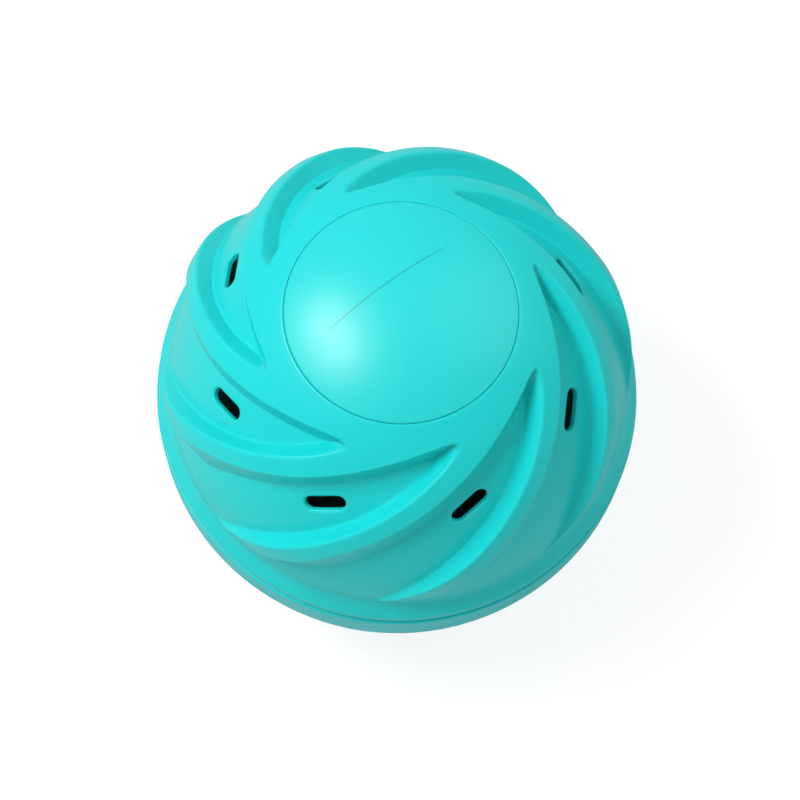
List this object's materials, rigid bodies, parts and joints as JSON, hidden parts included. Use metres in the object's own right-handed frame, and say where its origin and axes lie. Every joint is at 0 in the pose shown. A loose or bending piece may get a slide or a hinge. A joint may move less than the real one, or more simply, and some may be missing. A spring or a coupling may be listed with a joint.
{
  "type": "laundry ball",
  "caption": "Hollow moulded ball for the washing machine, with swirling ribs, drain slots and loose ceramic beads between two halves that pull apart.",
  "frame": {"origin": "centre of the ball, on the parting plane between its two halves", "axes": "+Z is the polar axis, toward the upper half's cover disc; the swirl repeats every 45 degrees around it"},
  "size_m": [0.0988, 0.0988, 0.1036],
  "materials": {
    "turquoise_plastic": "satin moulded plastic, slightly translucent turquoise",
    "turquoise_disc_plastic": "smooth satin moulded plastic",
    "ivory_ceramic": "unglazed fired clay, matte",
    "grey_green_ceramic": "unglazed fired clay, matte",
    "terracotta_ceramic": "unglazed fired clay, matte"
  },
  "bodies": {
    "lower_half": {"lower_shell": "turquoise_plastic", "bottom_disc": "turquoise_disc_plastic", "ceramic_bead_01": "grey_green_ceramic", "ceramic_bead_02": "terracotta_ceramic", "ceramic_bead_03": "ivory_ceramic", "ceramic_bead_04": "grey_green_ceramic", "ceramic_bead_05": "terracotta_ceramic", "ceramic_bead_06": "ivory_ceramic", "ceramic_bead_07": "grey_green_ceramic", "ceramic_bead_08": "terracotta_ceramic", "ceramic_bead_09": "ivory_ceramic", "ceramic_bead_10": "grey_green_ceramic", "ceramic_bead_11": "terracotta_ceramic", "ceramic_bead_12": "ivory_ceramic", "ceramic_bead_13": "grey_green_ceramic", "ceramic_bead_14": "terracotta_ceramic", "ceramic_bead_15": "ivory_ceramic", "ceramic_bead_16": "grey_green_ceramic", "ceramic_bead_17": "terracotta_ceramic", "ceramic_bead_18": "ivory_ceramic", "ceramic_bead_19": "grey_green_ceramic", "ceramic_bead_20": "terracotta_ceramic", "ceramic_bead_21": "ivory_ceramic", "ceramic_bead_22": "grey_green_ceramic", "ceramic_bead_23": "terracotta_ceramic", "ceramic_bead_24": "ivory_ceramic", "ceramic_bead_25": "grey_green_ceramic", "ceramic_bead_26": "terracotta_ceramic", "ceramic_bead_27": "ivory_ceramic", "ceramic_bead_28": "grey_green_ceramic", "ceramic_bead_29": "terracotta_ceramic", "ceramic_bead_30": "ivory_ceramic", "ceramic_bead_31": "grey_green_ceramic", "ceramic_bead_32": "terracotta_ceramic", "ceramic_bead_33": "ivory_ceramic", "ceramic_bead_34": "grey_green_ceramic", "ceramic_bead_35": "terracotta_ceramic", "ceramic_bead_36": "ivory_ceramic", "ceramic_bead_37": "grey_green_ceramic"},
    "upper_half": {"upper_shell": "turquoise_plastic", "top_disc": "turquoise_disc_plastic"}
  },
  "joints": [
    {"name": "upper_half_lift", "type": "slide", "parent": "lower_half", "child": "upper_half", "axis": [0, 0, 1], "range_m": [0, 0.055]}
  ]
}
